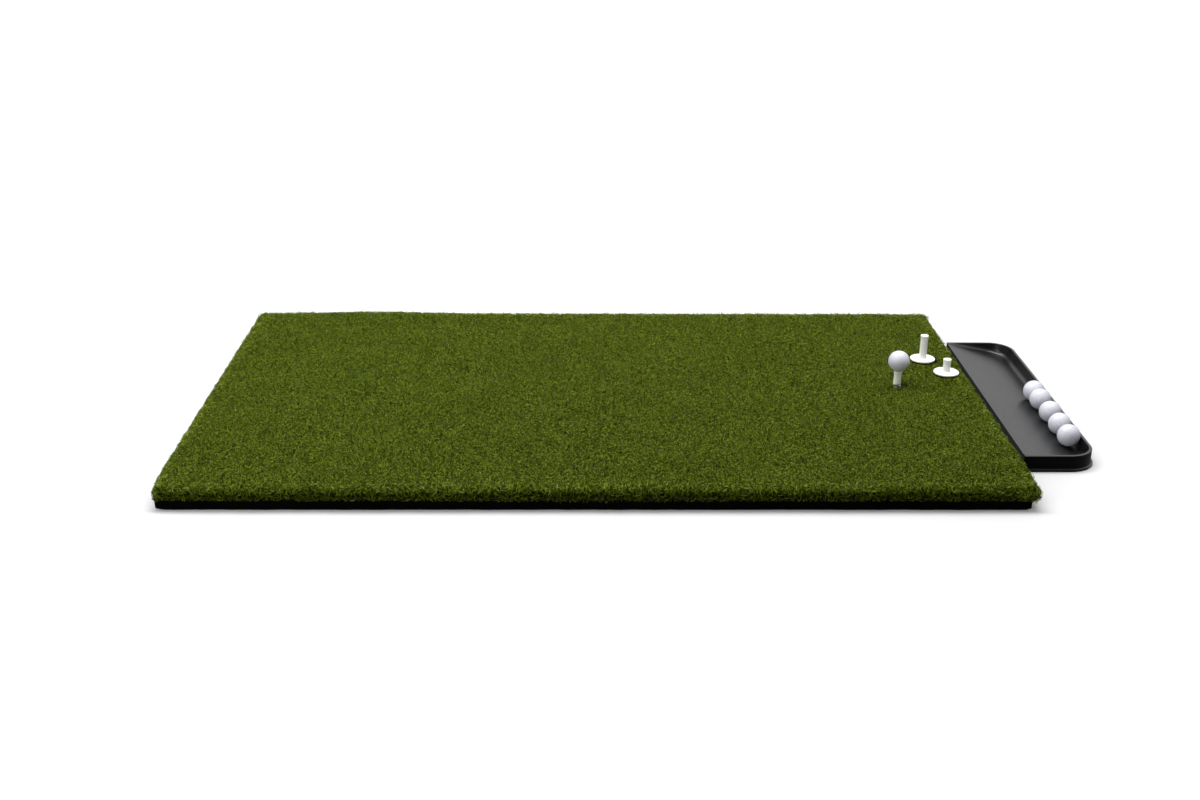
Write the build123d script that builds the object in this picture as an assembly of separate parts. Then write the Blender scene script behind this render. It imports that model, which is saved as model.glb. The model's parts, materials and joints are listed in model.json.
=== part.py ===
"""Golf hitting mat: a tufted turf mat on a foam base, its ball tray, three rubber tees and six golf balls.

Units are millimetres. The origin is the centre of the mat's underside, on the floor.
+X runs along the mat's long side to the ball tray, +Y runs across it, away from the golfer, and +Z is up.
"""
from build123d import *

import os
from math import cos, radians, sqrt, tan

# ---------------------------------------------------------------- driving dimensions

# The mat is a laminate, listed here from the floor up.
MAT_LENGTH = 1524.0          # 5 ft, along X
MAT_WIDTH = 914.4            # 3 ft, along Y
MAT_CORNER_R = 6.0
FOAM_THICKNESS = 16.0        # 5/8 in closed-cell foam
COAT_THICKNESS = 2.0         # urethane coat that locks the tufts
SCRIM_THICKNESS = 1.0        # woven primary backing that the tufts are stitched through
PILE_HEIGHT = 25.0           # curled nylon pile
PILE_EDGE_R = 7.0            # the pile rounds over at its cut edges

TEE_HOLE_X = 617.0
TEE_HOLE_Y = 16.0
TEE_HOLE_R = 9.5             # 3/4 in punched through every layer
FLANGE_POCKET_DEPTH = 3.9    # foam pressed up by the tee's flange
FLANGE_POCKET_R = 26.6

# Rubber tees: a round flange, a hollow post and a dished top.
TEE_HIGH = 75.0
TEE_MID = 54.0
TEE_LOW = 30.0
FLANGE_R = 26.0
FLANGE_EDGE = 2.8            # the flange thickens slightly towards the post
FLANGE_ROOT = 3.6
POST_R = 7.6
LIP_R = 8.3
LIP_HEIGHT = 4.0
LIP_BLEND = 3.0
HOLLOW_R = 4.5
CAP_THICKNESS = 9.0          # solid rubber above the hollow
VENT_R = 1.6
CUP_R = 6.9
TEE_ROOT_FILLET = 2.0
FLANGE_TOP_FILLET = 1.0
FLANGE_FOOT_FILLET = 0.5
LIP_FILLET = 0.6
TEE_MID_AT = (702.0, 163.0)  # loose tees standing on the pile
TEE_LOW_AT = (734.0, 84.0)

BALL_R = 21.335              # the rules' smallest golf ball is 42.67 mm across
BALL_COVER = 1.7

# Ball tray: one thermoformed sheet, open underneath.
TRAY_LEFT = 789.5            # wall beside the mat
TRAY_WIDTH = 138.0
TRAY_LENGTH = 610.0
TRAY_MIDDLE_Y = 2.5
TRAY_HEIGHT = 30.0
TRAY_SHEET = 2.5
TRAY_CORNER_R = 50.0         # the two far corners
TRAY_NEAR_R = 3.0            # the two corners beside the mat
TRAY_RIM = 5.5               # flat top of the rim
TRAY_DRAFT = 8.0             # degrees, inner wall
TRAY_FLOOR_SLOPE = 11.0      # degrees, down from the mat to the gutter
TRAY_FLOOR_DROP = 0.5        # the floor starts this far under the rim
TRAY_INNER_R = 9.0           # gutter fillet
TRAY_LIP = 4.5               # trimmed flange that the tray stands on
TRAY_LIP_THICKNESS = 2.5
TRAY_LIP_FILLET = 3.0
TRAY_EDGE_R = 1.2
BALL_PLACES_Y = (-207.0, -151.0, -91.0, -26.0, 18.0)

CLEARANCE = 0.3              # between pieces that only rest on each other

# ---------------------------------------------------------------- derived levels and places

COAT_Z = FOAM_THICKNESS
SCRIM_Z = COAT_Z + COAT_THICKNESS
PILE_Z = SCRIM_Z + SCRIM_THICKNESS
MAT_TOP = PILE_Z + PILE_HEIGHT

SEAT_R = BALL_R + CLEARANCE
SEAT_RISE = sqrt(SEAT_R ** 2 - CUP_R ** 2)   # ball centre above the tee's top

TRAY_RIGHT = TRAY_LEFT + TRAY_WIDTH
TRAY_FRONT = TRAY_MIDDLE_Y - TRAY_LENGTH / 2
TRAY_BACK = TRAY_MIDDLE_Y + TRAY_LENGTH / 2
SLOPE = tan(radians(TRAY_FLOOR_SLOPE))
DRAFT = tan(radians(TRAY_DRAFT))


def tray_floor_z(x):
    """Height of the tray's sloping floor at x."""
    return TRAY_HEIGHT - TRAY_FLOOR_DROP - SLOPE * (x - TRAY_LEFT)


def gutter_ball_centre():
    """x and z of a ball that lies between the sloping floor and the drafted outer wall."""
    wall_reach = SEAT_R / cos(radians(TRAY_DRAFT))
    floor_reach = SEAT_R / cos(radians(TRAY_FLOOR_SLOPE))
    wall_at_rim = TRAY_RIGHT - TRAY_RIM
    # x = wall_at_rim - DRAFT * (TRAY_HEIGHT - z) - wall_reach  and  z = tray_floor_z(x) + floor_reach
    x = wall_at_rim - DRAFT * TRAY_HEIGHT - wall_reach
    x += DRAFT * (TRAY_HEIGHT - TRAY_FLOOR_DROP + SLOPE * TRAY_LEFT + floor_reach)
    x /= 1 + DRAFT * SLOPE
    return x, tray_floor_z(x) + floor_reach


# ---------------------------------------------------------------- the mat's layers

def mat_layer(bottom, thickness):
    """One layer of the laminate, with the tee hole punched through."""
    plan = RectangleRounded(MAT_LENGTH, MAT_WIDTH, MAT_CORNER_R)
    plan -= Pos(TEE_HOLE_X, TEE_HOLE_Y) * Circle(TEE_HOLE_R)
    return Pos(0, 0, bottom) * extrude(plan, thickness)


def make_foam_base():
    pocket = Pos(TEE_HOLE_X, TEE_HOLE_Y) * extrude(Circle(FLANGE_POCKET_R), FLANGE_POCKET_DEPTH)
    return mat_layer(0, FOAM_THICKNESS) - pocket


def make_pile():
    pile = mat_layer(PILE_Z, PILE_HEIGHT)
    top_face = pile.faces().sort_by(Axis.Z)[-1]
    return fillet(top_face.outer_wire().edges(), PILE_EDGE_R)


# ---------------------------------------------------------------- tees and balls

def make_tee(height):
    """A tee standing on z = 0: its half profile turned about Z."""
    seat_drop = sqrt(SEAT_R ** 2 - VENT_R ** 2) - SEAT_RISE
    lip_start = height - LIP_HEIGHT
    foot_and_post = Polyline(
        (VENT_R, height - CAP_THICKNESS),
        (HOLLOW_R, height - CAP_THICKNESS),
        (HOLLOW_R, 0),
        (FLANGE_R, 0),
        (FLANGE_R, FLANGE_EDGE),
        (POST_R, FLANGE_ROOT),
        (POST_R, lip_start - LIP_BLEND),
        (LIP_R, lip_start),
        (LIP_R, height),
        (CUP_R, height),
    )
    cup = RadiusArc((CUP_R, height), (VENT_R, height - seat_drop), SEAT_R)
    vent = Line((VENT_R, height - seat_drop), (VENT_R, height - CAP_THICKNESS))
    half = Plane.XZ * make_face(foot_and_post + cup + vent)
    tee = revolve(half, Axis.Z)

    def rings(radius, level):
        """Circular edges of this radius at this level."""
        return [
            edge for edge in tee.edges().filter_by(GeomType.CIRCLE)
            if abs(edge.radius - radius) < 0.01 and abs(edge.arc_center.Z - level) < 0.01
        ]

    tee = fillet(rings(POST_R, FLANGE_ROOT), TEE_ROOT_FILLET)
    tee = fillet(rings(FLANGE_R, FLANGE_EDGE), FLANGE_TOP_FILLET)
    tee = fillet(rings(FLANGE_R, 0), FLANGE_FOOT_FILLET)
    return fillet(rings(LIP_R, height), LIP_FILLET)


def make_ball(centre):
    """Cover and core of a golf ball."""
    core_r = BALL_R - BALL_COVER
    cover = Pos(*centre) * (Sphere(BALL_R) - Sphere(core_r))
    core = Pos(*centre) * Sphere(core_r)
    return cover, core


# ---------------------------------------------------------------- the ball tray

def tray_plan(outset, left_outset):
    """The tray's plan grown by outset: nearly square corners beside the mat, round ones on the far side."""
    left = TRAY_LEFT - left_outset
    right = TRAY_RIGHT + outset
    depth = TRAY_LENGTH + 2 * outset
    plate = Pos((left + right) / 2, TRAY_MIDDLE_Y) * Rectangle(right - left, depth)
    plate = fillet(plate.vertices().group_by(Axis.X)[-1], TRAY_CORNER_R + outset)
    return fillet(plate.vertices().group_by(Axis.X)[0], max(TRAY_NEAR_R + outset, 0.4))


def basin(grow):
    """The space over the tray's floor, grown by grow: drafted walls, sloping floor, rounded gutter.

    It runs out past the wall beside the mat, because the floor starts at that wall's top."""
    run_out = 60.0
    headroom = 5.0
    top = TRAY_HEIGHT + headroom
    rim = TRAY_RIM - DRAFT * headroom - grow / cos(radians(TRAY_DRAFT))
    walls = extrude(Pos(0, 0, top) * tray_plan(-rim, run_out), -top, taper=TRAY_DRAFT)
    sink = grow / cos(radians(TRAY_FLOOR_SLOPE))
    x_near = TRAY_LEFT - 2 * run_out
    x_far = TRAY_RIGHT + run_out
    over_floor = Plane.XZ * make_face(Polyline(
        (x_near, tray_floor_z(x_near) - sink),
        (x_far, tray_floor_z(x_far) - sink),
        (x_far, 2 * top),
        (x_near, 2 * top),
        close=True,
    ))
    over_floor = extrude(over_floor, TRAY_LENGTH, both=True)
    space = walls & over_floor
    floor_face = min(space.faces(), key=lambda face: face.normal_at().Z)
    gutter_edges = [edge for edge in floor_face.edges() if (edge @ 0.5).X > TRAY_LEFT]
    return fillet(gutter_edges, TRAY_INNER_R + grow)


def make_tray():
    wall = extrude(tray_plan(0, 0), TRAY_HEIGHT)
    lip = extrude(tray_plan(TRAY_LIP, TRAY_LIP), TRAY_LIP_THICKNESS)
    block = wall + lip
    lip_top = block.faces().filter_by_position(Axis.Z, TRAY_LIP_THICKNESS, TRAY_LIP_THICKNESS)[0]
    block = fillet(lip_top.inner_wires()[0].edges(), TRAY_LIP_FILLET)
    block = fillet(block.faces().sort_by(Axis.Z)[-1].edges(), TRAY_EDGE_R)
    underside = extrude(tray_plan(-TRAY_SHEET, -TRAY_SHEET), TRAY_HEIGHT - TRAY_SHEET)
    underside -= basin(TRAY_SHEET)
    return block - basin(0) - underside


# ---------------------------------------------------------------- build and write

def make_nodes():
    """Every node by name."""
    nodes = {
        "foam_base": make_foam_base(),
        "backing_coat": mat_layer(COAT_Z, COAT_THICKNESS),
        "primary_backing": mat_layer(SCRIM_Z, SCRIM_THICKNESS),
        "turf_pile": make_pile(),
        "ball_tray": make_tray(),
        "tee_high": Pos(TEE_HOLE_X, TEE_HOLE_Y, 0) * make_tee(TEE_HIGH),
        "tee_mid": Pos(*TEE_MID_AT, MAT_TOP + CLEARANCE) * make_tee(TEE_MID),
        "tee_low": Pos(*TEE_LOW_AT, MAT_TOP + CLEARANCE) * make_tee(TEE_LOW),
    }
    teed_centre = (TEE_HOLE_X, TEE_HOLE_Y, TEE_HIGH + SEAT_RISE)
    nodes["teed_ball_cover"], nodes["teed_ball_core"] = make_ball(teed_centre)
    x, z = gutter_ball_centre()
    for number, y in enumerate(BALL_PLACES_Y, start=1):
        cover, core = make_ball((x, y, z))
        nodes[f"tray_ball_{number}_cover"] = cover
        nodes[f"tray_ball_{number}_core"] = core
    return nodes


os.makedirs("parts", exist_ok=True)
for name, shape in make_nodes().items():
    shape.label = name
    export_step(shape, f"parts/{name}.step")
    print(name, "volume", round(shape.volume), "mm3")
print("gutter ball centre", [round(value, 3) for value in gutter_ball_centre()], "seat rise", round(SEAT_RISE, 3))
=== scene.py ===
"""Looks of the golf hitting mat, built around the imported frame. Metres, in the frame of the CAD model:
the origin is the centre of the mat's underside, +X runs to the ball tray, +Y away from the golfer, +Z up."""

import json
from math import cos, pi, radians, sin

import bmesh
import bpy
import numpy as np
from mathutils import Matrix, Quaternion, Vector
from mathutils.kdtree import KDTree

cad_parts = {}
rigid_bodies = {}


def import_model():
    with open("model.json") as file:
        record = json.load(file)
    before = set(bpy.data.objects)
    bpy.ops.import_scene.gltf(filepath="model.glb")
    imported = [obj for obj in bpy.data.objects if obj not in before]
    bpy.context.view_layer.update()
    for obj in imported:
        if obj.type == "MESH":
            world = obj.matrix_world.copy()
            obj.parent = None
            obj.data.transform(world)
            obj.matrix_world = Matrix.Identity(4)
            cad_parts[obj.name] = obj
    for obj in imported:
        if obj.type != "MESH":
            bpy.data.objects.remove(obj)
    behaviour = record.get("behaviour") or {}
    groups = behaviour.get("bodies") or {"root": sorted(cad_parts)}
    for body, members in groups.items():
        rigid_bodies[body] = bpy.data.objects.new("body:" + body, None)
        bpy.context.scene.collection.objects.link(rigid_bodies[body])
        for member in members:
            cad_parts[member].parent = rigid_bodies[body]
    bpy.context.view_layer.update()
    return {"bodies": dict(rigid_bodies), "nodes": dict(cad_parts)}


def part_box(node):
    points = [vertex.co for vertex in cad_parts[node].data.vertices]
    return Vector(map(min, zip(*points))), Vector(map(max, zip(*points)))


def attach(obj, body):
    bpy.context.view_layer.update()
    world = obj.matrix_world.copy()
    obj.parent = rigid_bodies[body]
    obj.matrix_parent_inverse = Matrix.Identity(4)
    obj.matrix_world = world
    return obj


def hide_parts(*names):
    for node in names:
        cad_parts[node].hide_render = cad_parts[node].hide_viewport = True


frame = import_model()

MM = 0.001
SEED = 20

# ------------------------------------------------------------------ sizes read from the frame

PILE_LOW, PILE_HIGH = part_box("turf_pile")
HALF_X = PILE_HIGH.x
HALF_Y = PILE_HIGH.y
PILE_FOOT = PILE_LOW.z
PILE_TOP = PILE_HIGH.z
COAT_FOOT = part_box("backing_coat")[0].z


def middle(node):
    low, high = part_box(node)
    return (low + high) / 2


TEE_HOLE = middle("tee_high").xy
TEE_HOLE_R = 9.5 * MM
TEE_TRAVEL = 28 * MM                    # how far the tee in the hole is drawn down
FLANGE_R = (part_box("tee_mid")[1].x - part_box("tee_mid")[0].x) / 2
FLANGE_CLEARANCE = 0.6 * MM             # between a tee's flange and its pocket in the foam
FLANGE_POCKET_DEPTH = 3.9 * MM
LOOSE_TEES = [middle("tee_mid").xy, middle("tee_low").xy]
BALL_R = 21.335 * MM

# ------------------------------------------------------------------ mesh helpers

YARN_MAP = "OFBake"


def mesh_piece(name, points, faces, uvs, material):
    """A smooth mesh object from an array of points and an array of equal-sided faces.

    uvs holds one pair for each corner of each face, in order."""
    mesh = bpy.data.meshes.new(name)
    faces = np.asarray(faces, np.int32)
    sides = faces.shape[1]
    mesh.vertices.add(len(points))
    mesh.vertices.foreach_set("co", np.asarray(points, np.float32).ravel())
    mesh.loops.add(faces.size)
    mesh.loops.foreach_set("vertex_index", faces.ravel())
    mesh.polygons.add(len(faces))
    mesh.polygons.foreach_set("loop_start", np.arange(0, faces.size, sides, dtype=np.int32))
    layer = mesh.uv_layers.new(name=YARN_MAP)
    layer.data.foreach_set("uv", np.asarray(uvs, np.float32).ravel())
    mesh.update(calc_edges=True)
    mesh.validate()
    return linked(name, mesh, material)


def bmesh_piece(name, bm, material):
    """A smooth mesh object from a bmesh, which is freed."""
    mesh = bpy.data.meshes.new(name)
    bm.to_mesh(mesh)
    bm.free()
    return linked(name, mesh, material)


def linked(name, mesh, material):
    """The object that shows a smooth mesh in its material."""
    mesh.shade_smooth()
    mesh.materials.append(material)
    piece = bpy.data.objects.new(name, mesh)
    bpy.context.scene.collection.objects.link(piece)
    return piece


def dress(node, material):
    """Gives a CAD node its finished material."""
    piece = frame["nodes"][node]
    if not piece.material_slots:
        piece.data.materials.append(material)
    for material_slot in piece.material_slots:
        material_slot.material = material


class Ripple:
    """A smooth random height field: the sum of plane waves with wavelengths between two limits."""

    WAVES = 24

    def __init__(self, rng, shortest, longest):
        heading = rng.uniform(0, 2 * pi, self.WAVES)
        pitch = 2 * pi / np.exp(rng.uniform(np.log(shortest), np.log(longest), self.WAVES))
        self.kx = pitch * np.cos(heading)
        self.ky = pitch * np.sin(heading)
        self.phase = rng.uniform(0, 2 * pi, self.WAVES)

    def __call__(self, x, y):
        """About -1 to 1."""
        total = np.zeros_like(np.asarray(x, float))
        for kx, ky, phase in zip(self.kx, self.ky, self.phase):
            total += np.sin(kx * x + ky * y + phase)
        return total * (1.6 / self.WAVES) ** 0.5 * 0.5


# ------------------------------------------------------------------ node helpers


def map_range(tree, value, source=(0.0, 1.0), target=(0.0, 1.0)):
    """Maps a socket's value from the source range to the target range, and clamps it."""
    node = tree.nodes.new("ShaderNodeMapRange")
    for name, number in zip(("From Min", "From Max", "To Min", "To Max"), (*source, *target)):
        node.inputs[name].default_value = number
    tree.links.new(value, node.inputs["Value"])
    return node.outputs["Result"]


class Nodes:
    """Builds one material's node tree."""

    def __init__(self, name):
        self.material = bpy.data.materials.new(name)
        self.material.use_nodes = True
        self.tree = self.material.node_tree
        self.shader = self.tree.nodes["Principled BSDF"]

    def add(self, kind, **values):
        node = self.tree.nodes.new(kind)
        for key, value in values.items():
            if key in node.inputs:
                node.inputs[key].default_value = value
            else:
                setattr(node, key, value)
        return node

    def link(self, source, target):
        self.tree.links.new(source, target)

    def ramp(self, factor, stops):
        node = self.add("ShaderNodeValToRGB")
        elements = node.color_ramp.elements
        while len(elements) > 1:
            elements.remove(elements[-1])
        elements[0].position, elements[0].color = stops[0]
        for position, colour in stops[1:]:
            elements.new(position).color = colour
        self.link(factor, node.inputs["Fac"])
        return node.outputs["Color"]

    def mix(self, factor, first, second, blend="MIX"):
        node = self.add("ShaderNodeMix", data_type="RGBA", blend_type=blend)
        for socket, value in ((node.inputs[0], factor), (node.inputs[6], first), (node.inputs[7], second)):
            if isinstance(value, bpy.types.NodeSocket):
                self.link(value, socket)
            else:
                socket.default_value = value
        return node.outputs[2]

    def noise(self, scale, detail, roughness):
        node = self.add("ShaderNodeTexNoise", Scale=scale, Detail=detail, Roughness=roughness)
        self.link(self.coords(), node.inputs["Vector"])
        return node.outputs["Fac"]

    def coords(self):
        return self.add("ShaderNodeTexCoord").outputs["Object"]

    def bump(self, height, strength, distance):
        node = self.add("ShaderNodeBump", Strength=strength, Distance=distance)
        self.link(height, node.inputs["Height"])
        return node.outputs["Normal"]

    def spread(self, value, low, high):
        """Maps 0..1 to low..high."""
        return map_range(self.tree, value, target=(low, high))

    def set(self, **values):
        """Sets or links the shader's sockets, named with underscores, and returns the material."""
        for key, value in values.items():
            name = key.replace("_", " ")
            if isinstance(value, bpy.types.NodeSocket):
                self.link(value, self.shader.inputs[name])
            else:
                self.shader.inputs[name].default_value = value
        return self.material


def rgb(red, green, blue):
    return (red, green, blue, 1.0)


# ------------------------------------------------------------------ materials


def yarn_material():
    """Dyed nylon yarn: the map's u picks a yarn's shade, its dye with painted light and shade added, and v
    runs from its root to its tip, darkening towards the root in painted shade.
    """
    m = Nodes("nylon_yarn")
    split = m.add("ShaderNodeSeparateXYZ")
    m.link(m.add("ShaderNodeUVMap", uv_map=YARN_MAP).outputs["UV"], split.inputs["Vector"])
    shade = m.ramp(split.outputs["X"], [
        # painted shadow: the near-black first column, for the yarns pressed down in front of the loose tees'
        # flanges and beside the tee hole
        (0.00, rgb(0.003, 0.005, 0.0003)),
        (0.05, rgb(0.036, 0.054, 0.0008)),
        (0.25, rgb(0.086, 0.124, 0.0017)),
        (0.50, rgb(0.148, 0.203, 0.0050)),
        # partly painted sheen: the palest columns are greyer and bluer, as a highlight on the lightest yarns
        # looks, as well as their own lighter dye
        (0.75, rgb(0.220, 0.288, 0.0190)),
        (0.90, rgb(0.300, 0.368, 0.0900)),
        (1.00, rgb(0.080, 0.165, 0.0160)),
    ])
    # painted shade: each yarn darkens from its tip down to its root, where the pile shades itself
    depth = m.ramp(split.outputs["Y"], [
        (0.0, rgb(0.07, 0.07, 0.06)),
        (0.35, rgb(0.30, 0.30, 0.27)),
        (0.72, rgb(0.88, 0.88, 0.85)),
        (1.0, rgb(1.0, 1.0, 1.0)),
    ])
    return m.set(
        Base_Color=m.mix(1.0, shade, depth, "MULTIPLY"),
        Roughness=0.55,
        Specular_IOR_Level=0.07,
    )


def thatch_material():
    """The near-black bed seen between the yarns: painted shade, standing for the shaded depths of the pile.
    """
    m = Nodes("turf_thatch_painted_shade")
    grain = m.noise(420.0, 4.0, 0.7)
    colour = m.ramp(grain, [(0.3, rgb(0.004, 0.006, 0.001)), (0.7, rgb(0.030, 0.042, 0.006))])
    return m.set(Base_Color=colour, Roughness=0.9, Specular_IOR_Level=0.1, Normal=m.bump(grain, 0.8, 0.002))


def foam_material():
    """Black closed-cell foam, its cut cells faintly pitted."""
    m = Nodes("closed_cell_foam")
    cells = m.add("ShaderNodeTexVoronoi", Scale=900.0)
    m.link(m.coords(), cells.inputs["Vector"])
    patch = m.noise(35.0, 4.0, 0.6)
    colour = m.ramp(patch, [(0.3, rgb(0.0008, 0.0008, 0.0009)), (0.75, rgb(0.0022, 0.0022, 0.0024))])
    return m.set(
        Base_Color=colour,
        Roughness=m.spread(patch, 0.82, 0.95),
        Specular_IOR_Level=0.03,
        Normal=m.bump(cells.outputs["Distance"], 0.35, 0.0006),
    )


def coat_material():
    """The rough black urethane that locks the tufts."""
    m = Nodes("urethane_coat")
    grain = m.noise(260.0, 3.0, 0.6)
    return m.set(
        Base_Color=m.ramp(grain, [(0.3, rgb(0.004, 0.004, 0.004)), (0.7, rgb(0.012, 0.012, 0.011))]),
        Roughness=0.8,
        Specular_IOR_Level=0.12,
        Normal=m.bump(grain, 0.5, 0.0005),
    )


def scrim_material():
    """Woven flat polypropylene tapes: two crossed sets of bands."""
    m = Nodes("woven_scrim")
    coords = m.coords()
    bands = []
    for axis in ("X", "Y"):
        wave = m.add(
            "ShaderNodeTexWave", wave_type="BANDS", bands_direction=axis, Scale=150.0, Distortion=0.4
        )
        m.link(coords, wave.inputs["Vector"])
        bands.append(wave.outputs["Fac"])
    weave = m.mix(0.5, bands[0], bands[1])
    return m.set(
        Base_Color=m.mix(weave, rgb(0.035, 0.035, 0.032), rgb(0.10, 0.10, 0.092)),
        Roughness=0.75,
        Specular_IOR_Level=0.3,
        Normal=m.bump(weave, 0.6, 0.0004),
    )


def tray_material():
    """Black thermoformed ABS: a fine haircell grain, faint flow streaks and light scuffs."""
    m = Nodes("black_abs")
    haircell = m.noise(1400.0, 2.0, 0.5)
    streak = m.noise(9.0, 3.0, 0.5)
    scuff = m.noise(60.0, 6.0, 0.65)
    colour = m.ramp(streak, [(0.3, rgb(0.0032, 0.0032, 0.0034)), (0.7, rgb(0.0050, 0.0050, 0.0054))])
    return m.set(
        Base_Color=colour,
        Roughness=m.spread(scuff, 0.26, 0.38),
        Specular_IOR_Level=0.5,
        Normal=m.bump(haircell, 0.10, 0.0003),
    )


def tee_material():
    """White moulded rubber, faintly marked by handling."""
    m = Nodes("white_rubber")
    mark = m.noise(55.0, 5.0, 0.65)
    grain = m.noise(900.0, 2.0, 0.5)
    stops = [(0.30, rgb(0.78, 0.78, 0.73)), (0.55, rgb(0.86, 0.86, 0.82)), (0.8, rgb(0.88, 0.88, 0.85))]
    return m.set(
        Base_Color=m.ramp(mark, stops),
        Roughness=m.spread(mark, 0.62, 0.50),
        Specular_IOR_Level=0.35,
        Subsurface_Weight=0.08,
        Subsurface_Radius=(0.004, 0.004, 0.003),
        Subsurface_Scale=0.5,
        Normal=m.bump(grain, 0.12, 0.0003),
    )


def ball_material():
    """Clear-coated white ionomer cover."""
    m = Nodes("ball_cover")
    tint = m.noise(30.0, 3.0, 0.5)
    colour = m.ramp(tint, [(0.3, rgb(0.575, 0.580, 0.650)), (0.7, rgb(0.625, 0.632, 0.700))])
    return m.set(
        Base_Color=colour,
        Roughness=0.34,
        Specular_IOR_Level=0.5,
        Coat_Weight=0.35,
        Coat_Roughness=0.12,
    )


def core_material():
    """The ball's solid rubber core, hidden by its cover."""
    m = Nodes("rubber_core")
    grain = m.noise(300.0, 3.0, 0.6)
    colour = m.ramp(grain, [(0.3, rgb(0.10, 0.22, 0.36)), (0.7, rgb(0.15, 0.29, 0.44))])
    return m.set(Base_Color=colour, Roughness=0.7, Normal=m.bump(grain, 0.2, 0.0003))


# ------------------------------------------------------------------ turf

TURF_STRIPS = 14
YARN_SPACING = 1.95 * MM
YARN_JITTER = 0.35          # of the spacing, either way
YARN_WIDTH = 0.92 * MM
WIDTHS = (0.75, 1.25)       # of the yarn's width, from the finest yarn to the broadest
CURL = (radians(40), radians(160))      # how far a yarn bends over from its root to its tip
FLAT_ROLL = 1.1             # radians either way that a flat yarn is turned about its own length
TWIST = 0.9                 # radians, usually, that it twists by along its length
LONGEST = 2.1               # of a yarn's rise
TIP_WIDTH = 0.62            # of its width

FIELD_RISE = (3.6, 5.6)     # mm that a yarn on the brushed top stands above its root
FIELD_DEPTH = 3.2 * MM      # from the highest tips on the top down to the lowest
PRESSED_DEPTH = 4.5 * MM    # how much lower they are where the pile is pressed down
PAINTED_SHADE_DEPTH = 0.03         # painted shade: of the yarn map, darker for each mm of depth, as the lower tips lie in the pile's shade
PAINTED_SHADOW_PRESSED = 0.9        # painted shadow: and darker where the pile is pressed down

EDGE_ROUND = 8 * MM         # how far in from the backing's edge the pile starts to round over
BULGE_Z = 34 * MM           # the height at which the pile's side stands out furthest
CORNER_R = 3 * MM
BORDER_GIRTH = 40 * MM      # over the cut edge's rounded side
BORDER_SPACING = 2.35 * MM
BORDER_UPPER = 0.56         # the share of its yarns that lie above the bulge
BORDER_RAGGED = (2.2, 3.6)  # mm that tips fall short of the outline by, above and below the bulge
BORDER_PAINTED_LIGHT = 0.06         # painted light: of the yarn map, lighter than the top
BORDER_PAINTED_SHADE_DEPTH = 0.07  # painted shade: and darker for each mm of depth
BORDER_PAINTED_SHADE_UNDER = 0.16  # painted shade: and darker at its foot, below the bulge
GOLDEN = 0.6180339887       # its multiples, less their whole numbers, are spread evenly over 0 to 1
PLASTIC = (0.7548777, 0.5698403)        # the same, counted in two directions at once

LEAN_FRONT = 6.0            # mm that the pile leans out past the backing at the front
LEAN_BACK = 13.5
LEAN_RIGHT = (11.5, 13.5)   # at the front end and at the back end
LEAN_LEFT = (8.0, 13.0)

SHADES = 64                 # columns of the yarn map
MEAN_SHADE = 0.47
SHADE_SPREAD = 0.66         # from the darkest yarn to the lightest
LIGHTEST_SHADE = 0.93
GREEN_SHADE = 0.985         # the last column, for a few greener yarns

HOLE_CLEAR_WAY = radians(10)            # the side on which the pile stands clear of the tee's post
FLANGE_NEAR_WAY = radians(-65)          # the side of a loose tee's flange where the pile is pressed down
BALL_CLEARANCE = 0.5 * MM               # between the pile and the ball on a tee drawn down

ripple_rng = np.random.default_rng(SEED)
swell = Ripple(ripple_rng, 0.10, 0.45)
tuft_swell = Ripple(ripple_rng, 0.014, 0.05)
tone = Ripple(ripple_rng, 0.05, 0.40)
fine_tone = Ripple(ripple_rng, 0.012, 0.05)


def edge_distance(x, y):
    """How far inside the mat's outline a point lies."""
    return np.minimum(HALF_X - np.abs(x), HALF_Y - np.abs(y))


def bell(x, centre, width):
    """1 at the centre, falling away smoothly on both sides."""
    return np.exp(-(((x - centre) / width) ** 2))


def from_hole(x, y):
    """A point's distance from the tee hole's axis."""
    return np.hypot(x - TEE_HOLE.x, y - TEE_HOLE.y)


def hole_side(x, y):
    """1 at the clear side of the tee hole, on its right, and -1 at its left."""
    return np.cos(np.arctan2(y - TEE_HOLE.y, x - TEE_HOLE.x) - HOLE_CLEAR_WAY)


def hole_gap(x, y):
    """How far outside the tee hole's ring of yarns a point lies.

    The ring stands close to the post on the left, and clear of it on the right."""
    side = hole_side(x, y)
    ring = TEE_HOLE_R + MM * (1.6 + 1.8 * side + 3.4 * np.clip(side, 0, 1))
    return from_hole(x, y) - ring


def beside_flange(x, y, centre):
    """How far outside a loose tee's flange a point lies, and from 0 to 1 how much on its near side."""
    away = np.hypot(x - centre.x, y - centre.y) - FLANGE_R
    near_side = np.cos(np.arctan2(y - centre.y, x - centre.x) - FLANGE_NEAR_WAY)
    return away, np.clip(1.5 * near_side + 0.5, 0, 1)


def pressed_down_and_shadowed(x, y):
    """0 to 1: the pile pressed down in front of a loose tee's flange, and beside the tee hole, where its
    yarns also get a painted shadow.
    """
    total = bell(hole_gap(x, y), 0, 3.5 * MM) * np.clip(0.35 + 1.2 * hole_side(x, y), 0, 1)
    for centre in LOOSE_TEES:
        away, near_side = beside_flange(x, y, centre)
        total = total + near_side * np.clip(1.8 - np.abs(away / MM - 1.6) / 3.0, 0, 1)
    return np.clip(total, 0, 1)


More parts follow.
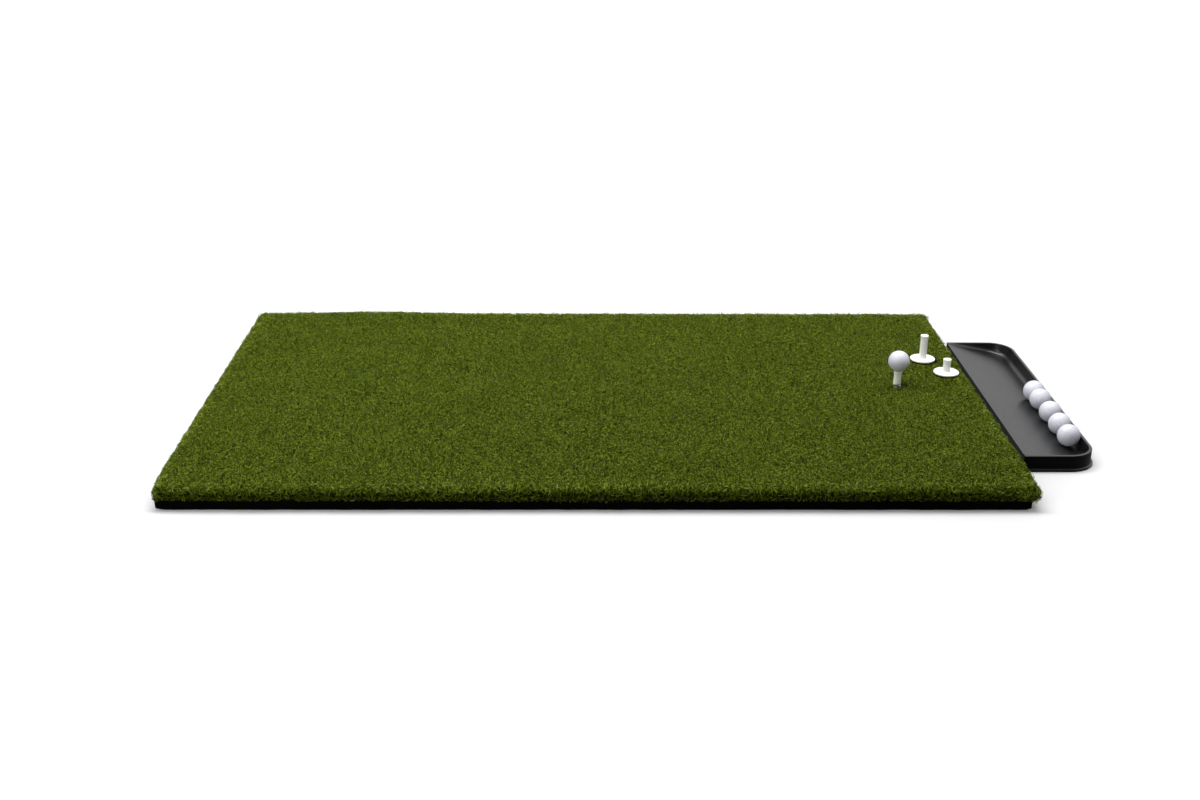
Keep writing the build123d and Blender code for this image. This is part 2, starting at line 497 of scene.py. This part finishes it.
def pile_height(x, y):
    """Height of the brushed pile's top.

    It stands proud along the back near the left corner, and a tuft stands in front of the tee's post. It dips
    at the clear side of the tee hole, and in front of the loose tees' flanges."""
    proud = 6.0 * MM * bell(x, -0.50, 0.14) * bell(y, 0.50, 0.10)
    tuft = 5.5 * MM * bell(x, TEE_HOLE.x - 2 * MM, 12 * MM) * bell(y, TEE_HOLE.y - 14.5 * MM, 8 * MM)
    dip = MM * bell(hole_gap(x, y), 0, 5 * MM) * np.clip(4.0 * hole_side(x, y) + 0.5, -1.2, 4.5)
    for centre in LOOSE_TEES:
        away, near_side = beside_flange(x, y, centre)
        dip = dip + 2.4 * MM * near_side * bell(away, 4.5 * MM, 4.5 * MM)
    return PILE_TOP + 1.4 * MM + 0.5 * MM * swell(x, y) + 0.15 * MM * tuft_swell(x, y) + proud + tuft - dip


def splay(x, y, facing):
    """How far the pile leans out past the backing, at a place on the outline that faces that way."""
    back = np.clip(y / HALF_Y, -1, 1) * 0.5 + 0.5
    right, left = (np.interp(back, [0, 1], ends) for ends in (LEAN_RIGHT, LEAN_LEFT))
    lean = (
        LEAN_FRONT
        + (LEAN_BACK - LEAN_FRONT) * np.clip(np.sin(facing), 0, 1)
        + (right - LEAN_FRONT) * np.clip(np.cos(facing), 0, 1)
        + (left - LEAN_FRONT) * np.clip(-np.cos(facing), 0, 1)
    )
    right_corner = 1.0 * bell(np.hypot(x - HALF_X, y + HALF_Y), 0, 30 * MM)
    left_corner = 2.0 * bell(np.hypot(x + HALF_X, y + HALF_Y), 0, 25 * MM)
    return MM * (lean + right_corner - left_corner + 1.2 * tuft_swell(x * 1.3, y * 1.3))


def droop(x, y):
    """How far the lowest yarns hang down over the foam, most of all near the middle of the long sides."""
    sag = 1.2 + 3.6 * bell(x, 0.05, 0.24)
    return MM * (sag + 0.8 * swell(x * 2, y * 2) + 2.2 * fine_tone(x * 1.2, y * 1.2))


def mixed(rng, first, second, loose=0.12):
    """0 to 1 for each yarn, with neighbours unlike each other, so that no blotches form."""
    return (PLASTIC[0] * first + PLASTIC[1] * second + rng.uniform(-loose, loose, len(first))) % 1.0


def shade_of(rng, x, y, share, painted_light_and_shade):
    """The column of the yarn map for each yarn, as share goes from 0 for the darkest to 1 for the lightest.

    On top of that come darker and lighter patches of the mat, a few greener yarns, and the painted light and
    shade given as the last argument."""
    value = MEAN_SHADE + 0.028 * tone(x, y) + 0.006 * fine_tone(x, y)
    value = np.clip(value + SHADE_SPREAD * (share - 0.5) + painted_light_and_shade, 0.0, LIGHTEST_SHADE)
    green = rng.random(len(x)) < 0.02 + 0.05 * np.clip(tone(y, x), 0, 1)
    value = np.where(green, GREEN_SHADE, value)
    return (np.floor(value * SHADES) + 0.5) / SHADES


def yarns(rng, tip, normal, heading, lean, bend, swirl, rise, width, shade, segments, centred):
    """Flat curled yarns as strips of quads: points, faces and map corners.

    A yarn leaves its root at lean from the pile's normal towards heading, and turns by bend and swirl.
    Its furthest point along the normal is rise above its root. At centred 1 its outer half lies over tip."""
    count = len(tip)
    across = np.cross(np.array([0.0, 1.0, 0.02]), normal)
    across /= np.linalg.norm(across, axis=1)[:, None]
    third = np.cross(normal, across)
    along = np.linspace(0, 1, segments + 1)
    tilt = (lean[:, None] + bend[:, None] * along)[..., None]
    turn = (heading[:, None] + swirl[:, None] * along)[..., None]
    ahead = np.cos(turn) * across[:, None] + np.sin(turn) * third[:, None]
    level = np.cos(turn) * third[:, None] - np.sin(turn) * across[:, None]
    way = np.cos(tilt) * normal[:, None] + np.sin(tilt) * ahead
    steps = (way[:, 1:] + way[:, :-1]) / (2 * segments)
    spine = np.concatenate([np.zeros((count, 1, 3)), np.cumsum(steps, 1)], 1)
    height = np.einsum("nks,ns->nk", spine, normal).max(1)
    length = np.minimum(rise / np.maximum(height, 0.05), LONGEST * rise)
    spine = spine * length[:, None, None]
    middle_of = (spine[:, segments // 2] + spine[:, -1]) / 2
    drift = middle_of - np.einsum("ns,ns->n", middle_of, normal)[:, None] * normal
    root = tip - normal * (height * length)[:, None] - drift * np.reshape(centred, (-1, 1))
    spine = spine + root[:, None]
    cross = np.cross(way, level)
    roll = rng.uniform(-FLAT_ROLL, FLAT_ROLL, count)[:, None] + rng.normal(0, TWIST, count)[:, None] * along
    roll = roll[..., None]
    side = np.cos(roll) * level + np.sin(roll) * cross
    taper = np.interp(along, [0, 0.7, 1], [1, 1, TIP_WIDTH])
    reach = side * (width[:, None] * taper / 2)[..., None]
    points = np.stack([spine - reach, spine + reach], 2).reshape(-1, 3)
    first = (np.arange(count) * 2 * (segments + 1))[:, None] + 2 * np.arange(segments)
    faces = np.stack([first, first + 1, first + 3, first + 2], -1).reshape(-1, 4)
    half = 0.35 / SHADES
    u = np.repeat(shade, segments)[:, None] + half * np.array([-1, 1, 1, -1])
    v = np.tile(np.stack([along[:-1], along[:-1], along[1:], along[1:]], -1), (count, 1))
    return points, faces, np.stack([u, v], -1)


def make_room(points):
    """Keeps yarns low beside and under the loose tees' flanges, and clear of the ball on a tee drawn down."""
    x, y, z = points.T
    ball_centre = middle("teed_ball_cover").z - TEE_TRAVEL
    under_ball = ball_centre - np.sqrt(np.maximum(BALL_R**2 - from_hole(x, y) ** 2, 0)) - BALL_CLEARANCE
    z = np.where(from_hole(x, y) < BALL_R, np.minimum(z, under_ball), z)
    for centre in LOOSE_TEES:
        away, near_side = beside_flange(x, y, centre)
        ceiling = np.interp(away / MM, [-9.0, -3.0, 2.0, 5.0, 8.0], [-0.4, -5.0, -5.0, 1.5, 9.0])
        ceiling -= 4.0 * near_side * bell(away, 4.5 * MM, 3.5 * MM)
        z = np.minimum(z, PILE_TOP + MM * ceiling)
    return np.stack([x, y, z], -1)


def field_yarns(rng):
    """The brushed top: curled yarns on a jittered grid."""
    reach = EDGE_ROUND - 1 * MM
    xs = np.arange(-HALF_X + reach, HALF_X - reach, YARN_SPACING)
    ys = np.arange(-HALF_Y + reach, HALF_Y - reach, YARN_SPACING)
    x, y = (grid.ravel() for grid in np.meshgrid(xs, ys, indexing="ij"))
    across, along = (grid.ravel() for grid in np.meshgrid(range(len(xs)), range(len(ys)), indexing="ij"))
    x = x + rng.uniform(-YARN_JITTER, YARN_JITTER, len(x)) * YARN_SPACING
    y = y + rng.uniform(-YARN_JITTER, YARN_JITTER, len(y)) * YARN_SPACING
    keep = hole_gap(x, y) > 0
    x, y, across, along = x[keep], y[keep], across[keep], along[keep]
    count = len(x)
    pressed_and_shadowed = pressed_down_and_shadowed(x, y)
    depth = FIELD_DEPTH * mixed(rng, across, along) ** 1.6 + PRESSED_DEPTH * pressed_and_shadowed
    # painted light and shade: lower yarns and pressed-down yarns are coloured darker, standing for the shade
    # and shadow on them
    painted_light_and_shade = -PAINTED_SHADE_DEPTH * depth / MM - PAINTED_SHADOW_PRESSED * pressed_and_shadowed
    away = np.arctan2(y - TEE_HOLE.y, x - TEE_HOLE.x) + rng.normal(0, 0.5, count)
    clear_side = (hole_gap(x, y) < 7 * MM) & (hole_side(x, y) > 0.1)
    return x, yarns(
        rng,
        tip=np.stack([x, y, pile_height(x, y) - depth], -1),
        normal=np.tile([0.0, 0.0, 1.0], (count, 1)),
        heading=np.where(clear_side, away, rng.uniform(0, 2 * pi, count)),
        lean=rng.uniform(0, radians(25), count),
        bend=rng.uniform(*CURL, count),
        swirl=rng.normal(0, radians(85), count) * np.where(clear_side, 0.2, 1.0),
        centred=np.where(clear_side, 0.0, 0.6),
        rise=rng.uniform(*FIELD_RISE, count) * MM,
        width=rng.uniform(*WIDTHS, count) * YARN_WIDTH,
        shade=shade_of(rng, x, y, mixed(rng, along, across, 0.2), painted_light_and_shade),
        segments=3,
    )


def plan_outline():
    """Points on the backing's outline, the way each faces, and the distance along the pile's outer side."""
    facing, x, y = [], [], []
    for side_x, side_y, start in ((1, -1, -90), (1, 1, 0), (-1, 1, 90), (-1, -1, 180)):
        for degrees in range(start, start + 91, 9):
            facing.append(radians(degrees))
            x.append(side_x * (HALF_X - CORNER_R) + CORNER_R * cos(facing[-1]))
            y.append(side_y * (HALF_Y - CORNER_R) + CORNER_R * sin(facing[-1]))
    facing.append(radians(270))
    x.append(x[0])
    y.append(y[0])
    facing, x, y = np.array(facing), np.array(x), np.array(y)
    lean_out = 7 * MM
    outer = np.stack([x + lean_out * np.cos(facing), y + lean_out * np.sin(facing)], -1)
    distance = np.concatenate([[0], np.cumsum(np.linalg.norm(np.diff(outer, axis=0), axis=1))])
    return facing, x, y, distance


def border_section(step, out, top, widest, low):
    """Places on the rounded side for steps of 0 at its inner top edge to 1 at its foot.

    Gives each place's distance past the backing, its height, the two parts of its normal, and how far
    below the bulge it is, from 0 to 1."""
    upper = step < BORDER_UPPER
    angle = np.where(upper, step / BORDER_UPPER, (step - BORDER_UPPER) / (1 - BORDER_UPPER)) * pi / 2
    offset = np.where(upper, -EDGE_ROUND + (EDGE_ROUND + out) * np.sin(angle), out * np.cos(angle) ** 0.7)
    z = np.where(upper, widest + (top - widest) * np.cos(angle), widest - (widest - low) * np.sin(angle))
    level_part = np.where(upper, np.sin(angle) / (EDGE_ROUND + out), np.cos(angle * 0.55))
    rise_part = np.where(upper, np.cos(angle) / (top - widest), -np.sin(angle * 0.55))
    return offset, z, level_part, rise_part, np.where(upper, 0, np.sin(angle))


def border_yarns(rng):
    """The cut edges: the pile rounds over, bulges past the backing and hangs a little over the foam."""
    facings, xs, ys, distance = plan_outline()
    count = int(distance[-1] * BORDER_GIRTH / BORDER_SPACING**2)
    at = (np.arange(count) + rng.uniform(0, 1, count)) / count * distance[-1]
    facing = np.interp(at, distance, facings)
    foot_x = np.interp(at, distance, xs)
    foot_y = np.interp(at, distance, ys)
    step = (np.arange(count) * GOLDEN + rng.uniform(-0.02, 0.02, count)) % 1.0

    squareness = np.maximum(np.abs(np.cos(facing)), np.abs(np.sin(facing))) ** -0.8
    out = splay(foot_x, foot_y, facing) * np.where(np.cos(facing) > 0, squareness, 1.0)
    front_corner = bell(np.hypot(np.abs(foot_x) - HALF_X, foot_y + HALF_Y), 0, 40 * MM)
    offset, z, level_part, rise_part, under = border_section(
        step,
        out,
        top=pile_height(foot_x, foot_y) - 0.6 * MM,
        widest=BULGE_Z - 9 * MM * front_corner,
        low=COAT_FOOT - droop(foot_x, foot_y),
    )
    outward = np.stack([np.cos(facing), np.sin(facing), np.zeros(count)], -1)
    normal = outward * level_part[:, None] + np.array([0, 0, 1.0]) * rise_part[:, None]
    normal /= np.linalg.norm(normal, axis=1)[:, None]
    depth = (np.abs(rng.normal(0, 1, count)) * np.where(step < BORDER_UPPER, *BORDER_RAGGED) - 1.0) * MM
    # painted light and shade: the side's yarns are coloured lighter than the top's, and darker with depth and
    # below the bulge
    painted_light_and_shade = BORDER_PAINTED_LIGHT - BORDER_PAINTED_SHADE_DEPTH * depth / MM - BORDER_PAINTED_SHADE_UNDER * under
    return foot_x, yarns(
        rng,
        tip=np.stack([foot_x, foot_y, z], -1) + outward * offset[:, None] - normal * depth[:, None],
        normal=normal,
        heading=rng.uniform(0, 2 * pi, count),
        lean=rng.uniform(0, radians(35), count),
        bend=rng.uniform(*CURL, count),
        swirl=rng.normal(0, radians(80), count),
        centred=0.6,
        rise=np.maximum(rng.uniform(6, 9, count) * MM, (out + 3 * MM) * rng.uniform(0.7, 1.0, count)),
        width=rng.uniform(*WIDTHS, count) * YARN_WIDTH,
        shade=shade_of(rng, foot_x, foot_y, rng.random(count), painted_light_and_shade),
        segments=4,
    )


def make_turf(material):
    """The yarns in strips across the mat, with about as many in each."""
    rng = np.random.default_rng(SEED + 1)
    groups = [field_yarns(rng), border_yarns(rng)]
    cuts = np.quantile(np.concatenate([x for x, _ in groups]), np.linspace(0, 1, TURF_STRIPS + 1)[1:-1])
    for index in range(TURF_STRIPS):
        points, faces, uvs, start = [], [], [], 0
        for x, (all_points, all_faces, all_uvs) in groups:
            picked = np.digitize(x, cuts) == index
            per_points = len(all_points) // len(x)
            per_faces = len(all_faces) // len(x)
            own_points = all_points.reshape(len(x), per_points, 3)[picked].reshape(-1, 3)
            first = per_points * np.arange(picked.sum())[:, None, None]
            points.append(own_points)
            faces.append((all_faces[:per_faces][None] + first).reshape(-1, 4) + start)
            uvs.append(all_uvs.reshape(len(x), per_faces, 4, 2)[picked].reshape(-1, 4, 2))
            start += len(own_points)
        piece = mesh_piece(
            f"turf_yarns_{index + 1:02d}",
            make_room(np.concatenate(points)),
            np.concatenate(faces),
            np.concatenate(uvs),
            material=material,
        )
        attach(piece, "mat")
        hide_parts("turf_pile")


def make_thatch(material):
    """A rough bed under the yarns, dark with painted shade, with the tee hole open through it."""
    drop = 7 * MM
    inset = 5 * MM
    rim_width = 12 * MM
    rim_fall = 4 * MM
    nx, ny = 240, 144
    xs = np.linspace(-HALF_X + inset, HALF_X - inset, nx)
    ys = np.linspace(-HALF_Y + inset, HALF_Y - inset, ny)
    x, y = np.meshgrid(xs, ys, indexing="ij")
    rng = np.random.default_rng(SEED + 2)
    top = PILE_TOP - drop + 0.3 * MM * tuft_swell(x, y) + rng.normal(0, 0.3, x.shape) * MM
    top = top - (1 - np.clip(edge_distance(x, y) / rim_width, 0, 1)) ** 2 * rim_fall

    hole = TEE_HOLE_R + 0.5 * MM
    aside = np.maximum(hole / from_hole(x, y), 1)
    eased_x = TEE_HOLE.x + (x - TEE_HOLE.x) * aside
    eased_y = TEE_HOLE.y + (y - TEE_HOLE.y) * aside
    bm = bmesh.new()
    grid = [[bm.verts.new((eased_x[i, j], eased_y[i, j], top[i, j])) for j in range(ny)] for i in range(nx)]
    for i in range(nx - 1):
        for j in range(ny - 1):
            if from_hole((x[i, j] + x[i + 1, j]) / 2, (y[i, j] + y[i, j + 1]) / 2) > hole:
                bm.faces.new((grid[i][j], grid[i + 1][j], grid[i + 1][j + 1], grid[i][j + 1]))
    around = [edge for edge in bm.edges if edge.is_boundary]
    for vert in bmesh.ops.extrude_edge_only(bm, edges=around)["geom"]:
        if isinstance(vert, bmesh.types.BMVert):
            vert.co.z = PILE_FOOT
    bmesh.ops.delete(bm, geom=[vert for vert in bm.verts if not vert.link_faces], context="VERTS")
    bmesh.ops.recalc_face_normals(bm, faces=bm.faces)
    piece = bmesh_piece("turf_thatch_painted_shade", bm, material)
    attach(piece, "mat")
    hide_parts("turf_pile")


# ------------------------------------------------------------------ foam and backing layers

LAYER_CORNER_R = 6 * MM
LAYER_STEP = 6 * MM         # between the points on a layer's cut edge
HOLE_SIDES = 40


def layer_outline(half_x, half_y):
    """Points round a rectangle with eased corners, and the way each faces."""
    outline = []
    for side_x, side_y, start in ((1, -1, -90), (1, 1, 0), (-1, 1, 90), (-1, -1, 180)):
        centre = Vector((side_x * (half_x - LAYER_CORNER_R), side_y * (half_y - LAYER_CORNER_R)))
        for degrees in range(start, start + 91, 15):
            outline.append(centre + LAYER_CORNER_R * Vector((cos(radians(degrees)), sin(radians(degrees)))))
    points = []
    for here, there in zip(outline, outline[1:] + outline[:1]):
        pieces = max(1, round((there - here).length / LAYER_STEP))
        points.extend(here.lerp(there, k / pieces) for k in range(pieces))
    points = np.array([tuple(point) for point in points])
    on_the_ends = np.abs(points[:, 0]) > half_x - LAYER_CORNER_R
    facing = np.where(on_the_ends[:, None], [1.0, 0.0], [0.0, 1.0]) * np.sign(points)
    return points, facing


def hole_ring(bm, z):
    """New points round the tee hole at one height."""
    ring = []
    for k in range(HOLE_SIDES):
        turn = 2 * pi * k / HOLE_SIDES
        x, y = TEE_HOLE + TEE_HOLE_R * Vector((cos(turn), sin(turn)))
        ring.append(bm.verts.new((x, y, z)))
    return ring


def ring_edges(ring):
    return list(zip(ring, ring[1:] + ring[:1]))


def wall(bm, lower, upper):
    """Faces between two rings of as many points."""
    for (a, b), (c, d) in zip(ring_edges(lower), ring_edges(upper)):
        bm.faces.new((a, b, d, c))


def layer_piece(name, node, material, waviness, edge_r, seed, proud):
    """A slab cut by hand: its edge wavers and is eased by edge_r, and the tee hole goes through it.

    At the left and front it stands proud of its box, or is set back where proud is below zero."""
    low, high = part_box(node)
    tall = high.z - low.z
    waver = Ripple(np.random.default_rng(seed), 0.02, 0.22)
    outline, facing = layer_outline(high.x, high.y)
    spare = proud * np.clip(-facing[:, 0] - facing[:, 1], 0, 1)
    lower_edge = [(edge_r, 0.0), (edge_r * 0.3, edge_r * 0.3), (0.0, edge_r)]
    upper_edge = [(inset, tall - rise) for inset, rise in reversed(lower_edge)]
    profile = lower_edge + [(0.0, tall / 2)] + upper_edge
    bm = bmesh.new()
    rings = []
    for inset, rise in profile:
        wave = waviness * (waver(outline[:, 0] + rise, outline[:, 1] - rise) - 1)
        place = outline - facing * (inset - wave - spare)[:, None]
        rings.append([bm.verts.new((x, y, low.z + rise)) for x, y in place])
    for lower, upper in zip(rings, rings[1:]):
        wall(bm, lower, upper)
    hole = [hole_ring(bm, low.z), hole_ring(bm, high.z)]
    wall(bm, *hole)
    for outer, inner in ((rings[0], hole[0]), (rings[-1], hole[1])):
        loops = [bm.edges.get(pair) for pair in ring_edges(outer) + ring_edges(inner)]
        bmesh.ops.triangle_fill(bm, edges=loops, use_beauty=True)
    bmesh.ops.recalc_face_normals(bm, faces=bm.faces)
    piece = bmesh_piece(name, bm, material)
    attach(piece, "mat")
    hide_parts(node)
    return piece


def make_layers():
    """The foam stands out from under the pile, and the pile hides the cut edges of the two layers over it."""
    foam = layer_piece(
        "foam_slab",
        "foam_base",
        foam_material(),
        waviness=0.5 * MM,
        edge_r=1.0 * MM,
        seed=SEED + 3,
        proud=5 * MM,
    )
    cut_flange_pocket(foam)
    coat = layer_piece(
        "urethane_coat",
        "backing_coat",
        coat_material(),
        waviness=0.4 * MM,
        edge_r=0.3 * MM,
        seed=SEED + 4,
        proud=-1.5 * MM,
    )
    scrim = layer_piece(
        "woven_scrim",
        "primary_backing",
        scrim_material(),
        waviness=0.3 * MM,
        edge_r=0.15 * MM,
        seed=SEED + 5,
        proud=-2.5 * MM,
    )


def cut_flange_pocket(foam):
    """The round hollow that the tee's flange presses into the foam's underside."""
    bpy.ops.mesh.primitive_cylinder_add(
        vertices=64,
        radius=FLANGE_R + FLANGE_CLEARANCE,
        depth=2 * FLANGE_POCKET_DEPTH,
        location=(TEE_HOLE.x, TEE_HOLE.y, 0),
    )
    cutter = bpy.context.object
    cut = foam.modifiers.new("pocket", "BOOLEAN")
    cut.operation = "DIFFERENCE"
    cut.object = cutter
    cut.solver = "EXACT"
    apply_modifiers(foam)
    bpy.data.objects.remove(cutter)


def apply_modifiers(piece):
    """Gives the piece the mesh that its modifiers make."""
    graph = bpy.context.evaluated_depsgraph_get()
    mesh = bpy.data.meshes.new_from_object(piece.evaluated_get(graph))
    old = piece.data
    piece.modifiers.clear()
    piece.data = mesh
    bpy.data.meshes.remove(old)


# ------------------------------------------------------------------ golf balls

DIMPLE_FREQUENCY = 6        # 10 n^2 + 2 = 362 dimples
DIMPLE_R = 1.84 * MM
DIMPLE_DEPTH = 0.42 * MM
DIMPLE_RINGS = ((0.0, 1), (0.38, 7), (0.74, 11), (1.0, 15))     # share of the dimple's radius, and points


def geodesic_points(frequency):
    """Even points on a unit sphere: an icosahedron's faces divided frequency times."""
    bm = bmesh.new()
    bmesh.ops.create_icosphere(bm, subdivisions=1, radius=1.0)
    points = {}
    for face in bm.faces:
        a, b, c = (v.co.copy() for v in face.verts)
        for i in range(frequency + 1):
            for j in range(frequency + 1 - i):
                p = (a * (frequency - i - j) + b * i + c * j).normalized()
                points[tuple(round(t, 5) for t in p)] = p
    bm.free()
    return list(points.values())


def dimpled_ball(name):
    """One ball's mesh: rings of points round each dimple, joined by their hull, then pressed in."""
    bm = bmesh.new()
    centres = geodesic_points(DIMPLE_FREQUENCY)
    nearest = KDTree(len(centres))
    for index, centre in enumerate(centres):
        nearest.insert(centre, index)
        east = centre.orthogonal().normalized()
        north = centre.cross(east)
        for share, count in DIMPLE_RINGS:
            angle = share * DIMPLE_R / BALL_R
            for k in range(count):
                turn = 2 * pi * (k + 0.5 * (count % 2)) / count
                out = east * cos(turn) + north * sin(turn)
                bm.verts.new(centre * cos(angle) + out * sin(angle))
    nearest.balance()
    bmesh.ops.convex_hull(bm, input=bm.verts, use_existing_faces=False)
    for vert in bm.verts:
        way = vert.co.normalized()
        share = nearest.find(way)[2] * BALL_R / DIMPLE_R
        vert.co = way * (BALL_R - DIMPLE_DEPTH * max(0.0, 1 - share**3))
    bmesh.ops.recalc_face_normals(bm, faces=bm.faces)
    mesh = bpy.data.meshes.new(name)
    bm.to_mesh(mesh)
    bm.free()
    return mesh


def make_balls():
    """Each ball is the same cover, turned its own way, round the core of the CAD model."""
    material = ball_material()
    core_finish = core_material()
    master = dimpled_ball("dimpled_cover")
    rng = np.random.default_rng(SEED + 6)
    for body in [name for name in frame["bodies"] if "ball" in name]:
        mesh = master.copy()
        mesh.name = f"{body}_dimpled"
        turn = Quaternion(rng.normal(0, 1, 4)).normalized().to_matrix().to_4x4()
        mesh.transform(Matrix.Translation(middle(f"{body}_cover")) @ turn)
        piece = linked(f"{body}_dimpled", mesh, material)
        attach(piece, body)
        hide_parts(f"{body}_cover")
        dress(f"{body}_core", core_finish)
    bpy.data.meshes.remove(master)


# ------------------------------------------------------------------ stage, light and camera

CAMERA_AT = (-0.022, -2.657, 1.113)
CAMERA_PITCH = 22.43        # degrees down from level
CAMERA_YAW = 0.71           # degrees towards +X
CAMERA_ROLL = 0.33
CAMERA_LENS = 42.4          # mm on a 36 mm wide frame
FLOOR_GLOW_FROM = (0.9, 2.2)            # distances from the mat's centre
FLOOR_GLOW = (0.03, 0.9)                # how brightly the floor is lit from within at them
BACKDROP_R = 22.0
BACKDROP_HEIGHT = 24.0


def make_camera():
    camera = bpy.data.objects.new("camera", bpy.data.cameras.new("camera"))
    camera.data.lens = CAMERA_LENS
    camera.data.sensor_width = 36.0
    camera.data.clip_end = 60.0
    camera.matrix_world = (
        Matrix.Translation(CAMERA_AT)
        @ Matrix.Rotation(radians(-CAMERA_YAW), 4, "Z")
        @ Matrix.Rotation(radians(90 - CAMERA_PITCH), 4, "X")
        @ Matrix.Rotation(radians(CAMERA_ROLL), 4, "Z")
    )
    bpy.context.scene.collection.objects.link(camera)
    bpy.context.scene.camera = camera


def area_light(name, place, target, size, power):
    lamp = bpy.data.lights.new(name, "AREA")
    lamp.shape = "RECTANGLE"
    lamp.size, lamp.size_y = size
    lamp.energy = power
    light = bpy.data.objects.new(name, lamp)
    light.location = place
    light.rotation_euler = (Vector(target) - Vector(place)).to_track_quat("-Z", "Y").to_euler()
    bpy.context.scene.collection.objects.link(light)


def studio_floor():
    """A pale sweep. Away from the mat it is lit from within, as a cyclorama is lit apart from the subject."""
    bpy.ops.mesh.primitive_plane_add(size=60, location=(0, 0, -0.0002))
    floor = bpy.context.object
    floor.name = "studio_floor"
    m = Nodes("studio_floor")
    far = m.add("ShaderNodeVectorMath", operation="LENGTH")
    m.link(m.coords(), far.inputs[0])
    glow = map_range(m.tree, far.outputs["Value"], FLOOR_GLOW_FROM, FLOOR_GLOW)
    floor.data.materials.append(m.set(
        Base_Color=rgb(0.60, 0.60, 0.60),
        Roughness=0.9,
        Specular_IOR_Level=0.1,
        Emission_Color=rgb(1, 1, 1),
        Emission_Strength=glow,
    ))
    floor.visible_glossy = False
    floor.visible_diffuse = False


def studio_backdrop():
    """A white wall far off all round, so that a low view has no horizon. It lights and shades nothing."""
    bm = bmesh.new()
    bmesh.ops.create_cone(
        bm, cap_ends=False, segments=96, radius1=BACKDROP_R, radius2=BACKDROP_R, depth=BACKDROP_HEIGHT
    )
    m = Nodes("studio_backdrop")
    backdrop = bmesh_piece("studio_backdrop", bm, m.set(
        Base_Color=rgb(0, 0, 0), Specular_IOR_Level=0.0, Emission_Color=rgb(1, 1, 1), Emission_Strength=1.0
    ))
    backdrop.visible_diffuse = False
    backdrop.visible_glossy = False
    backdrop.visible_shadow = False


def studio_world():
    """Soft white light above the horizon, less of it from the front and the left, and little from below."""
    world = bpy.data.worlds.new("studio")
    world.use_nodes = True
    tree = world.node_tree
    background = tree.nodes["Background"]
    split = tree.nodes.new("ShaderNodeSeparateXYZ")
    tree.links.new(tree.nodes.new("ShaderNodeTexCoord").outputs["Generated"], split.inputs["Vector"])
    total = map_range(tree, split.outputs["Y"], source=(-1.0, 0.3), target=(0.09, 1.0))
    above = map_range(tree, split.outputs["Z"], source=(-0.03, 0.16), target=(0.12, 1.0))
    left = map_range(tree, split.outputs["X"], source=(-1.0, 0.0), target=(0.4, 1.0))
    for share in (above, left):
        product = tree.nodes.new("ShaderNodeMath")
        product.operation = "MULTIPLY"
        tree.links.new(total, product.inputs[0])
        tree.links.new(share, product.inputs[1])
        total = product.outputs["Value"]
    tree.links.new(total, background.inputs["Color"])
    background.inputs["Strength"].default_value = 1.0
    bpy.context.scene.world = world


def make_stage():
    studio_floor()
    studio_backdrop()
    studio_world()
    area_light("overhead", place=(-0.3, 0.42, 2.5), target=(-0.3, 0.0, 0.0), size=(4.2, 1.2), power=112.0)
    area_light("front_left", place=(-2.0, -2.3, 1.1), target=(0.0, 0.0, 0.0), size=(1.3, 1.0), power=40.0)
    view = bpy.context.scene.view_settings
    view.view_transform = "Standard"
    view.look = "None"


# ------------------------------------------------------------------ build


make_camera()
make_stage()
make_layers()
make_thatch(thatch_material())
make_turf(yarn_material())
make_balls()
dress("ball_tray", tray_material())
rubber = tee_material()
for tee in ("tee_high", "tee_mid", "tee_low"):
    dress(tee, rubber)
